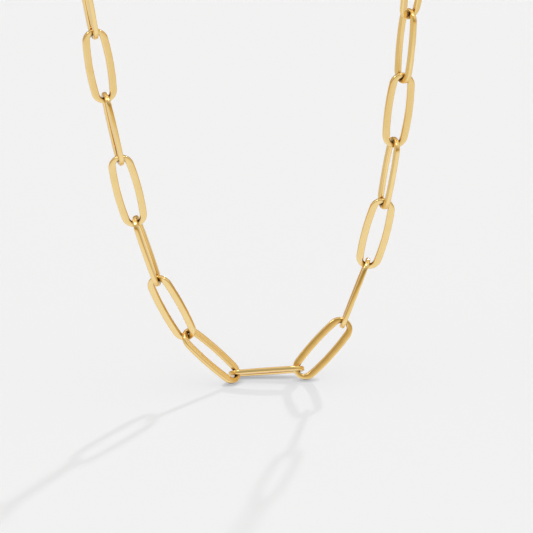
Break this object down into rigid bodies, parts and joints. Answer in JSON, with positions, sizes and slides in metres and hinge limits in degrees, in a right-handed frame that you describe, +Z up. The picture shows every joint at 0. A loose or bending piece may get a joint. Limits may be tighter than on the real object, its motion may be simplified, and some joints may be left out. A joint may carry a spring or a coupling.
{
  "type": "paperclip chain necklace",
  "caption": "Closed neck chain of long oval wire links, each turned across the next, hanging in a deep rounded V, with a plain clasp at the nape",
  "frame": {"origin": "the nape: the middle of the clasp, where the necklace is held up", "axes": "+Z up, the front of the necklace towards -Y, +X to the right as seen from the front"},
  "size_m": [0.0982, 0.0784, 0.1478],
  "materials": {
    "link_gold": "polished pale yellow gold",
    "clasp_gold": "polished pale yellow gold"
  },
  "bodies": {
    "root": {"link_01": "link_gold", "link_02": "link_gold", "link_03": "link_gold", "link_04": "link_gold", "link_05": "link_gold", "link_06": "link_gold", "link_07": "link_gold", "link_08": "link_gold", "link_09": "link_gold", "link_10": "link_gold", "link_11": "link_gold", "link_12": "link_gold", "link_13": "link_gold", "link_14": "link_gold", "link_15": "link_gold", "link_16": "link_gold", "link_17": "link_gold", "link_18": "link_gold", "link_19": "link_gold", "link_20": "link_gold", "link_21": "link_gold", "link_22": "link_gold", "link_23": "link_gold", "link_24": "link_gold", "link_25": "link_gold", "link_26": "link_gold", "link_27": "link_gold", "link_28": "link_gold", "link_29": "link_gold", "link_30": "link_gold", "link_31": "link_gold", "link_32": "link_gold", "link_33": "link_gold", "clasp": "clasp_gold", "jump_ring": "clasp_gold"}
  },
  "joints": []
}
